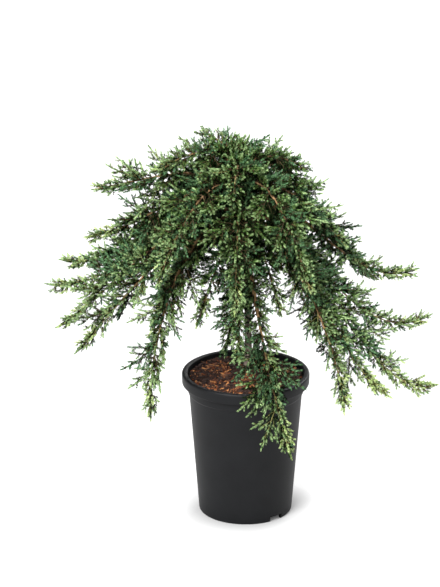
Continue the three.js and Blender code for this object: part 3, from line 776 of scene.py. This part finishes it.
def make_needles(shoots, rng):
    """Whorls of folded needles along every shoot: the four corners and the green of each."""
    curves, _, colours, bare = shoots.arrays()
    length = norm(curves[:, 2] - curves[:, 0], axis=1)
    # Needles of the painted-shade green sit further apart
    pitch = np.where(colours == PAINTED_SHADE, PAINTED_SHADE_PITCH, 1) * WHORL_PITCH
    count = np.maximum(2, (length * (1 - bare) / pitch).astype(int))
    owner = np.repeat(np.arange(len(curves)), count)
    first = np.repeat(np.cumsum(count) - count, count)
    step = np.arange(len(owner)) - first
    along = step + rng.uniform(*WHORL_JITTER, len(owner))
    share = np.minimum(bare[owner] + (1 - bare[owner]) * along / count[owner], 1)
    points, ways = shoot_points(curves[owner], share)
    side, out = frame_of(ways)
    turn = step * math.pi / WHORL_NEEDLES + rng.uniform(0, FIRST_TURN, len(curves))[owner]
    turn = np.repeat(turn[:, None], WHORL_NEEDLES, 1)
    turn = turn + np.arange(WHORL_NEEDLES) * 2 * math.pi / WHORL_NEEDLES
    turn = turn + rng.uniform(*NEEDLE_TURNS, turn.shape)
    spread = np.radians(mix(*NEEDLE_ANGLES, share**2))[:, None]
    spread = spread + rng.uniform(*NEEDLE_SWINGS, turn.shape)
    radial = side[:, None] * np.cos(turn)[..., None] + out[:, None] * np.sin(turn)[..., None]
    way = ways[:, None] * np.cos(spread)[..., None] + radial * np.sin(spread)[..., None]
    size = NEEDLE_LENGTH * rng.uniform(*NEEDLE_LENGTHS, turn.shape)
    size = size * mix(1, NEEDLE_END_LENGTH, share**4)[:, None]
    size = size * np.minimum(1, SHORT_SHOOT_LENGTH + length[owner][:, None] / FULL_SHOOT)
    size = size[..., None]
    width = unit(np.cross(ways[:, None], radial)) * NEEDLE_WIDTH / 2
    fold = unit(np.cross(width, way)) * NEEDLE_WIDTH * NEEDLE_FOLD
    root = points[:, None] - way * NEEDLE_SUNK
    middle = root + way * size * NEEDLE_WIDEST + fold
    tip = root + way * size + ways[:, None] * size * NEEDLE_HOOK
    corners = np.stack([root, middle - width, tip, middle + width], axis=2).reshape(-1, 4, 3)
    far_out = np.minimum(1, norm(curves[:, 0, :2], axis=1) / CROWN_RADIUS)
    pale_from = mix(*PALE_TIPS, far_out)[owner]
    greens = np.where((colours[owner] == MID) & (share > pale_from), LIGHT, colours[owner])
    # The root part of every shoot gets the near-black green: painted shade
    painted_shade_to = ROOT_SHADE_SHARE * rng.uniform(*ROOT_SHADE_SPREAD, len(owner))
    greens = np.where(share < painted_shade_to, PAINTED_SHADE, greens)
    return corners, np.repeat(greens, WHORL_NEEDLES)


def tubes(centres, ways, radii, sides):
    """Tubes along many lines at once: their vertices and their faces of four corners."""
    count, steps = centres.shape[:2]
    side, out = frame_of(ways.reshape(-1, 3))
    side, out = side.reshape(ways.shape)[:, :, None], out.reshape(ways.shape)[:, :, None]
    turn = np.arange(sides) * 2 * math.pi / sides
    ring = side * np.cos(turn)[:, None] + out * np.sin(turn)[:, None]
    points = centres[:, :, None] + ring * radii[:, :, None, None]
    index = np.arange(count * steps * sides).reshape(count, steps, sides)
    after = np.roll(index, -1, axis=2)
    faces = np.stack([index[:, :-1], after[:, :-1], after[:, 1:], index[:, 1:]], axis=-1)
    return points.reshape(-1, 3), faces.reshape(-1, 4)


def make_twigs(shoots):
    """A slim tube for each shoot's axis, pointed at its tip: vertices, faces and shoots' greens."""
    curves, thick, colours, _ = shoots.arrays()
    shares = np.linspace(0, 1, len(TWIG_TAPER))
    cuts = [shoot_points(curves, np.full(len(curves), share)) for share in shares]
    centres, ways = (np.stack(x, axis=1) for x in zip(*cuts))
    radii = thick[:, None] * np.array(TWIG_TAPER)
    return *tubes(centres, ways, radii, TWIG_SIDES), colours


def collect(name, points, faces, material, slot, nodes, smooth=True):
    """One piece of the plant from vertices in millimetres, riding on the root body."""
    mesh = bpy.data.meshes.new(name)
    corners = faces.shape[1]
    mesh.vertices.add(len(points))
    mesh.vertices.foreach_set("co", (points * MM).ravel())
    mesh.loops.add(faces.size)
    mesh.loops.foreach_set("vertex_index", faces.ravel().astype(np.int32))
    mesh.polygons.add(len(faces))
    mesh.polygons.foreach_set("loop_start", np.arange(0, faces.size, corners, dtype=np.int32))
    mesh.update(calc_edges=True)
    mesh.validate()
    mesh.polygons.foreach_set("use_smooth", np.full(len(faces), smooth))
    mesh.materials.append(material)
    return place(bpy.data.objects.new(name, mesh), slot, nodes)


def place(piece, slot, nodes):
    bpy.context.scene.collection.objects.link(piece)
    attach(piece, "root")
    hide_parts(*nodes)
    return piece


def rounded(profile, radius, steps=4):
    """A profile whose corners are rounded by arcs of up to that radius."""
    outline = [profile[0]]
    for before, corner, after in zip(profile, profile[1:], profile[2:]):
        before, corner, after = map(np.array, (before, corner, after))
        reach = min(radius, *(EDGE_LIMIT * norm(end - corner) for end in (before, after)))
        first = corner + unit(before - corner) * reach
        last = corner + unit(after - corner) * reach
        for t in np.linspace(0, 1, steps):
            outline.append(first * (1 - t) ** 2 + 2 * corner * t * (1 - t) + last * t**2)
    return np.array(outline + [profile[-1]], float)


def lathe(profile, sides):
    """A profile of radius and height turned about Z, open where its ends meet the axis."""
    turn = np.arange(sides) * 2 * math.pi / sides
    ring = np.stack([np.cos(turn), np.sin(turn)], axis=1)
    flat = profile[:, None, :1] * ring[None]
    heights = np.repeat(profile[:, None, 1:], sides, axis=1)
    points = np.concatenate([flat, heights], axis=2).reshape(-1, 3)
    index = np.arange(len(profile) * sides).reshape(-1, sides)
    after = np.roll(index, -1, axis=1)
    return points, np.stack([index[:-1], after[:-1], after[1:], index[1:]], axis=-1).reshape(-1, 4)


def close_ends(piece):
    """Fills the open ends of a piece's surface and turns all its faces outwards."""
    work = bmesh.new()
    work.from_mesh(piece.data)
    bmesh.ops.holes_fill(work, edges=[edge for edge in work.edges if edge.is_boundary])
    bmesh.ops.recalc_face_normals(work, faces=work.faces)
    work.to_mesh(piece.data)
    work.free()


def make_pot(material):
    """The pot: a tapered shell with a curled rim, and a notch on each side of its foot ring."""
    base, top, rim = POT_BASE_RADIUS, POT_TOP_RADIUS, RIM_RADIUS
    rim_foot = POT_HEIGHT - RIM_BAND
    collar_foot = rim_foot - COLLAR_HEIGHT
    floor_top = CHANNEL_HEIGHT + POT_FLOOR
    wall_foot, wall_top = np.array([(base, 3), (top - 0.5, collar_foot)])
    profile = [
        (SMALL_HOLE, 0),
        (CHANNEL_INNER_RADIUS, 0),
        (CHANNEL_INNER_RADIUS + 3, CHANNEL_HEIGHT),
        (CHANNEL_OUTER_RADIUS - 2, CHANNEL_HEIGHT),
        (CHANNEL_OUTER_RADIUS, 0),
        (base - 1.5, 0),
        wall_foot,
        *(mix(wall_foot, wall_top, share) for share in WALL_RINGS),
        wall_top,
        (top + 1.5, collar_foot + 2),
        (top + 2.5, rim_foot - 2),
        (rim - 2.5, rim_foot - 1),
        (rim - 0.5, rim_foot),
        (rim, POT_HEIGHT - 3),
        (rim - 1.2, POT_HEIGHT - 0.4),
        (rim - 3, POT_HEIGHT),
        (top + 3.6, POT_HEIGHT - 0.5),
        (top + 2.2, POT_HEIGHT - 2),
        (top + 1.4, POT_HEIGHT - LIP_DEPTH),
        (base - POT_WALL, floor_top),
        (SMALL_HOLE, floor_top),
    ]
    points, faces = lathe(rounded(profile, EDGE_RADIUS), POT_SIDES)
    pot = collect("pot_shell", points, faces, material, "pot", ["pot"])
    close_ends(pot)
    ring = ((CHANNEL_OUTER_RADIUS + base) / 2 + 2) * MM
    for azimuth in NOTCH_AZIMUTHS:
        turn = radians(azimuth)
        spot = ring * math.cos(turn), ring * math.sin(turn), 0
        bpy.ops.mesh.primitive_cube_add(size=1, rotation=(0, 0, turn), location=spot)
        cutter = bpy.context.object
        cutter.scale = (NOTCH_DEPTH * MM, NOTCH_WIDTH * MM, 2 * CHANNEL_HEIGHT * MM)
        cut = pot.modifiers.new("notch", "BOOLEAN")
        cut.operation = "DIFFERENCE"
        cut.solver = "EXACT"
        cut.object = cutter
        bpy.context.view_layer.objects.active = pot
        bpy.ops.object.modifier_apply(modifier=cut.name)
        bpy.data.objects.remove(cutter)


def bark_tube(curve, shares, radii, sides, relief, seed):
    """A limb of bark: a tube whose ridges, flakes and fibres run along it."""
    centres, ways = curve.at(shares), curve.tangent(shares)
    points, faces = tubes(centres[None], ways[None], radii[None], sides)
    out = points - np.repeat(centres, sides, axis=0)
    along = np.repeat(shares * curve.length, sides)
    across = out[:, 1] + 0.6 * out[:, 2]
    grain = np.stack([out[:, 0], across, GRAIN_SQUEEZE * along], axis=1)
    ridges = 1 - 2 * np.abs(noise(grain * RIDGE_SCALE, seed))
    flakes = noise(grain * np.array(FLAKE_SCALE), seed + 1)
    fibres = noise(grain * np.array(FIBRE_SCALE), seed + 2)
    rise = relief * (RIDGE_SHARE * ridges + FLAKE_SHARE * flakes + FIBRE_SHARE * fibres)
    return points + unit(out) * rise[:, None], faces


def knots(curve, shares, height, pitch, seed):
    """Small swellings along a limb, as shares of its radius."""
    return height * np.maximum(0, np.sin(shares * curve.length / pitch + seed)) ** 4


def make_trunk(material):
    """The trunk, its flare fluted by the roots that it stands on, up to its tip in the crown."""
    shares = np.linspace(0, 1, TRUNK_RINGS)
    radii = trunk_radius(shares)
    points, faces = bark_tube(trunk_curve, shares, radii, TRUNK_SIDES, TRUNK_RELIEF, 11)
    axis = np.repeat(trunk_curve.at(shares), TRUNK_SIDES, axis=0)
    out = points - axis
    turn = np.arctan2(out[:, 1], out[:, 0])
    low = np.exp(-(points[:, 2] - TRUNK_FOOT[2]) / FLUTE_HEIGHT)
    swell = sum(height * np.cos(lobes * turn + first) for height, lobes, first in FLUTES)
    points = axis + out * (1 + swell * low)[:, None]
    points[:, 2] = np.maximum(points[:, 2], TRUNK_FOOT[2])
    close_ends(collect("trunk_with_bark", points, faces, material, "trunk_bark", ["trunk"]))


def make_boughs(limbs, material):
    """All the boughs, each from inside the trunk to where its mass begins, swollen at the trunk."""
    parts = []
    for grown in (g for g in limbs if g.limb.bare):
        curve = grown.curve
        shares = np.linspace(0, grown.limb.bare + BOUGH_OVERLAP / curve.length, BOUGH_RINGS)
        swell = BOUGH_SWELL * np.exp(-((shares * curve.length / BOUGH_SWELL_REACH) ** 2))
        radii = mix(BOUGH_RADIUS, STEM_RADIUS, shares / grown.limb.bare) * BOUGH_SLIMMER
        radii = radii * (1 + swell + knots(curve, shares, *BOUGH_KNOTS, grown.seed))
        parts.append(bark_tube(curve, shares, radii, BOUGH_SIDES, BOUGH_RELIEF, grown.seed))
    names = [grown.limb.name + "_bough" for grown in limbs if grown.limb.bare]
    close_ends(collect("boughs_with_bark", *joined(parts), material, "bough_bark", names))


def make_stems(limbs, material):
    """The stem in each mass, which carries on from its bough to the tip."""
    parts = []
    for grown in limbs:
        curve = grown.curve
        shares = np.linspace(grown.start, STEM_END, STEM_RINGS)
        run = (shares - grown.start) / (1 - grown.start)
        radii = mix(STEM_RADIUS * STEM_SLIMMER, STEM_END_RADIUS, run**STEM_TAPER)
        radii = radii * (1 + knots(curve, shares, *STEM_KNOTS, grown.seed))
        parts.append(bark_tube(curve, shares, radii, STEM_SIDES, STEM_RELIEF, grown.seed + 50))
    close_ends(collect("stems", *joined(parts), material, "bough_bark", []))


def joined(parts):
    """Several sets of vertices and faces as one."""
    counts = np.cumsum([0] + [len(points) for points, _ in parts])
    points = np.concatenate([points for points, _ in parts])
    return points, np.concatenate([faces + n for (_, faces), n in zip(parts, counts)])


def substrate_height(x, y):
    away = np.hypot(x - TRUNK_FOOT[0], y - TRUNK_FOOT[1])
    heap = np.maximum(0, 1 - away / MOUND_RADIUS) * (SEAT_TOP - SUBSTRATE_TOP)
    return SUBSTRATE_TOP - SUBSTRATE_SUNK + heap


def make_substrate(material):
    """The body of the filling, dark and crumbly where it shows between the chips."""
    floor = CHANNEL_HEIGHT + POT_FLOOR + FIT_GAP
    foot = POT_BASE_RADIUS - POT_WALL - 1
    rings = np.linspace(SUBSTRATE_RADIUS, SMALL_HOLE, SUBSTRATE_RINGS)
    top = [(radius, SUBSTRATE_TOP) for radius in rings]
    profile = np.array([(SMALL_HOLE, floor), (foot, floor), *top], float)
    points, faces = lathe(profile, SUBSTRATE_SIDES)
    top = points[:, 2] > SUBSTRATE_TOP - 1
    crumbs = noise(points[top] * CRUMB_SCALE, 5)
    crumbs = crumbs + FINE_CRUMB_SHARE * noise(points[top] * FINE_CRUMB_SCALE, 6)
    points[top, 2] = substrate_height(points[top, 0], points[top, 1]) + CRUMB_HEIGHT * crumbs
    close_ends(collect("potting_mix", points, faces, material, "bark_mulch", ["bark_mulch"]))


def make_chips(materials, rng):
    """Loose chips of bark on the filling: rough slabs of many sizes, dealt out to a few tones.

    In damp patches they all have the first and darkest tone.
    """
    corners = np.array(list(np.ndindex(2, 2, 2))) - 0.5
    sides = np.array([(0, 1, 3, 2), (4, 6, 7, 5), (0, 4, 5, 1),
                      (2, 3, 7, 6), (0, 2, 6, 4), (1, 5, 7, 3)])
    size = np.stack([mix(low, high, rng.uniform(0, 1, CHIP_COUNT) ** SMALL_CHIPS)
                     for low, high in CHIP_SIZES], axis=1)
    radius = (SUBSTRATE_RADIUS - CHIP_MARGIN) * np.sqrt(rng.uniform(0, 1, CHIP_COUNT))
    azimuth = rng.uniform(0, 2 * math.pi, CHIP_COUNT)
    x, y = radius * np.cos(azimuth), radius * np.sin(azimuth)
    rough = 1 + rng.uniform(*CHIP_ROUGHNESS, (CHIP_COUNT, 8, 3))
    slabs = corners[None] * size[:, None] * rough
    yaw = rng.uniform(0, 2 * math.pi, CHIP_COUNT)
    pitch, roll = rng.normal(0, CHIP_TILT, (2, CHIP_COUNT))
    slabs = turned(turned(turned(slabs, roll, 1, 2), pitch, 0, 2), yaw, 0, 1)
    lift = rng.uniform(0, 1, CHIP_COUNT) ** 2 * CHIP_HEAP
    slabs += np.stack([x, y, substrate_height(x, y) + CHIP_BED + lift], axis=1)[:, None]
    inside = np.hypot(slabs[..., 0], slabs[..., 1]).max(1) < SUBSTRATE_RADIUS
    clear = np.hypot(x - TRUNK_FOOT[0], y - TRUNK_FOOT[1]) > TRUNK_FOOT_RADIUS - 1
    wetness = noise(np.stack([x, y, 0 * x], axis=1) * DAMP_SCALE, 9)
    damp = wetness > rng.uniform(*DAMP_RANGE, CHIP_COUNT)
    tone = np.where(damp, 0, rng.choice(len(materials), CHIP_COUNT, p=CHIP_TONE_SHARES))
    for k, material in enumerate(materials):
        mine = slabs[inside & clear & (tone == k)]
        faces = sides[None] + 8 * np.arange(len(mine))[:, None, None]
        collect(f"bark_chips_{k + 1}", mine.reshape(-1, 3), faces.reshape(-1, 4), material,
                "bark_mulch", [], smooth=False)


def turned(slabs, angle, first, second):
    """Slabs turned in the plane of two axes, each by its own angle."""
    new = slabs.copy()
    cos, sin = np.cos(angle)[:, None], np.sin(angle)[:, None]
    new[..., first] = slabs[..., first] * cos - slabs[..., second] * sin
    new[..., second] = slabs[..., first] * sin + slabs[..., second] * cos
    return new


def make_foliage(limbs, needle_materials, twig_materials, rng):
    """The shoots of every mass and their needles, joined by colour."""
    shoots = Shoots()
    for grown in limbs:
        for k, plume in enumerate(grown.plumes):
            leading = 0 if k else LEADER_FRESHNESS
            freshness_and_shading = PLUME_FRESHNESS + youth(plume.root, grown) + leading
            slim = nearness(plume.root, grown) * (SLIM_IN_DOME if grown.limb.core else 1)
            grow_spray(shoots, plume, freshness_and_shading, RIB_BARE if k else 0, slim=slim)
        grow_inner(shoots, grown)
        clothe_stem(shoots, grown)
    nodes = [grown.limb.name + "_needles" for grown in limbs]
    needles, greens = make_needles(shoots, rng)
    halves = np.array([(0, 1, 2), (0, 2, 3)])
    for k, material in enumerate(needle_materials):
        mine = needles[greens == k]
        pieces = max(1, math.ceil(len(mine) / NEEDLES_A_PIECE))
        for part, blades in enumerate(np.array_split(mine, pieces)):
            faces = halves[None] + 4 * np.arange(len(blades))[:, None, None]
            collect(f"needles_{GREEN_NAMES[k]}_{part + 1}", blades.reshape(-1, 3),
                    faces.reshape(-1, 3), material, "needles", nodes, smooth=False)
    points, faces, colours = make_twigs(shoots)
    young = np.repeat(np.isin(colours, (LIGHT, FRESH)), len(faces) // len(colours))
    names = ("twigs_young", "twigs_old")
    for name, chosen, material in zip(names, (young, ~young), twig_materials):
        used, new = np.unique(faces[chosen], return_inverse=True)
        collect(name, points[used], new.reshape(-1, 4), material, "bough_bark", [])


def linear(hex_colour):
    """A colour written as in the browser, as Blender's linear numbers."""
    parts = [int(hex_colour[i : i + 2], 16) / 255 for i in (1, 3, 5)]
    return *(c / 12.92 if c <= 0.04045 else ((c + 0.055) / 1.055) ** 2.4 for c in parts), 1


def fill(node, values):
    """Sets a node's sockets by their names."""
    for name, value in values.items():
        node.inputs[name].default_value = value


def surface(name, tones, scale, roughness, bump=0.0, bump_scale=1.0, stretch=(1, 1, 1),
            spread=0.18, gloss=0.5):
    """A material whose colour drifts between tones in lumps, with a fine relief of its own."""
    material = bpy.data.materials.new(name)
    material.use_nodes = True
    nodes, links = material.node_tree.nodes, material.node_tree.links
    shader = nodes["Principled BSDF"]
    fill(shader, {"Roughness": roughness, "Specular IOR Level": gloss})
    coordinates = nodes.new("ShaderNodeTexCoord")
    mapping = nodes.new("ShaderNodeMapping")
    fill(mapping, {"Scale": stretch})
    links.new(coordinates.outputs["Object"], mapping.inputs["Vector"])

    def noise_node(fineness, detail):
        node = nodes.new("ShaderNodeTexNoise")
        fill(node, {"Scale": fineness, "Detail": detail})
        links.new(mapping.outputs["Vector"], node.inputs["Vector"])
        return node

    lumps = noise_node(scale, 6)
    ramp = nodes.new("ShaderNodeValToRGB")
    first, last = ramp.color_ramp.elements
    first.position, last.position = 0.5 - spread, 0.5 + spread
    first.color, last.color = linear(tones[0]), linear(tones[-1])
    for k, tone in enumerate(tones[1:-1]):
        stop = mix(0.5 - spread, 0.5 + spread, (k + 1) / (len(tones) - 1))
        ramp.color_ramp.elements.new(stop).color = linear(tone)
    links.new(lumps.outputs["Fac"], ramp.inputs["Fac"])
    links.new(ramp.outputs["Color"], shader.inputs["Base Color"])
    if bump:
        grain = noise_node(scale * bump_scale, 4)
        relief = nodes.new("ShaderNodeBump")
        fill(relief, {"Strength": bump, "Distance": MM})
        links.new(grain.outputs["Fac"], relief.inputs["Height"])
        links.new(relief.outputs["Normal"], shader.inputs["Normal"])
    return material


def make_floor():
    """A pale floor, whose own glow fades out under the pot into a painted shadow."""
    material = surface("pale floor", FLOOR_TONES, scale=2, roughness=0.9, gloss=0.1)
    nodes, links = material.node_tree.nodes, material.node_tree.links
    shader = nodes["Principled BSDF"]
    fill(shader, {"Emission Color": WHITE})
    coordinates = nodes.new("ShaderNodeTexCoord")
    away = nodes.new("ShaderNodeVectorMath")
    away.operation = "LENGTH"
    # The glow fades out under the pot: a painted shadow
    glow = nodes.new("ShaderNodeMapRange")
    fill(glow, {"From Min": PAINTED_SHADOW_EDGE[0], "From Max": PAINTED_SHADOW_EDGE[1], "To Max": FLOOR_GLOW})
    links.new(coordinates.outputs["Object"], away.inputs[0])
    links.new(away.outputs["Value"], glow.inputs["Value"])
    links.new(glow.outputs["Result"], shader.inputs["Emission Strength"])
    bpy.ops.mesh.primitive_plane_add(size=FLOOR_SIZE)
    floor = bpy.context.object
    floor.name = "floor"
    floor.data.materials.append(material)
    floor.visible_diffuse = False


def make_light():
    """Soft studio light: a dim white world and four large lamps."""
    world = bpy.data.worlds.new("studio")
    world.use_nodes = True
    fill(world.node_tree.nodes["Background"], {"Color": WHITE, "Strength": WORLD_LIGHT})
    bpy.context.scene.world = world
    for name, spot, size, power in LIGHTS:
        lamp = bpy.data.lights.new(name, "AREA")
        lamp.size = size
        lamp.energy = power
        holder = bpy.data.objects.new(name, lamp)
        holder.location = spot
        aim = Vector(LIGHT_AIM) - holder.location
        holder.rotation_euler = aim.to_track_quat("-Z", "Y").to_euler()
        bpy.context.scene.collection.objects.link(holder)


def make_camera():
    """The camera, at the place and angle of the photo's, and plain colours."""
    eye = bpy.data.cameras.new("camera")
    eye.lens = CAMERA_LENS
    eye.sensor_width = SENSOR
    eye.clip_end = CAMERA_REACH
    camera = bpy.data.objects.new("camera", eye)
    camera.location = CAMERA_PLACE
    camera.rotation_euler = (radians(90 - CAMERA_DOWN), 0, 0)
    bpy.context.scene.collection.objects.link(camera)
    bpy.context.scene.camera = camera
    bpy.context.scene.view_settings.view_transform = "Standard"


make_floor()
make_light()
make_camera()
rng = np.random.default_rng(2833)
limbs = grow_limbs()
make_pot(surface("charcoal plastic", ("#0a0b0d", "#0f1012"), scale=30, roughness=0.56,
                 bump=0.12, bump_scale=30, gloss=0.19))
make_substrate(surface("dark potting mix", ("#0d0805", "#26160c"), scale=260, roughness=0.95,
                       bump=0.8, bump_scale=3))
chip_materials = [surface(f"bark chip {k + 1}", tones, scale=130, roughness=0.9,
                          bump=0.7, bump_scale=4, stretch=(1, 1, 2))
                  for k, tones in enumerate(CHIP_TONES)]
make_chips(chip_materials, rng)
make_trunk(surface("grey-brown bark", ("#4b4038", "#8a7c70", "#6d5f54"), scale=160,
                   roughness=0.92, bump=0.6, bump_scale=4, stretch=(1, 1, 0.18)))
bough_bark = surface("tan bark", ("#4a3724", "#9a7a50", "#765a3b"), scale=170,
                     roughness=0.85, bump=0.5, bump_scale=4, stretch=(1, 1, 0.4))
make_boughs(limbs, bough_bark)
make_stems(limbs, bough_bark)
# The first green, near black, is painted shade
greens = [surface(f"{name} needles", tones, scale=300, roughness=0.5, spread=0.1, gloss=gloss)
          for name, tones, gloss in zip(GREEN_NAMES, GREENS, GREEN_GLOSS)]
young_twig = surface("young twig", ("#7c7a44", "#9a8f55"), scale=120, roughness=0.7)
old_twig = surface("old twig", ("#382b1b", "#6a5233"), scale=120, roughness=0.75)
make_foliage(limbs, greens, (young_twig, old_twig), rng)
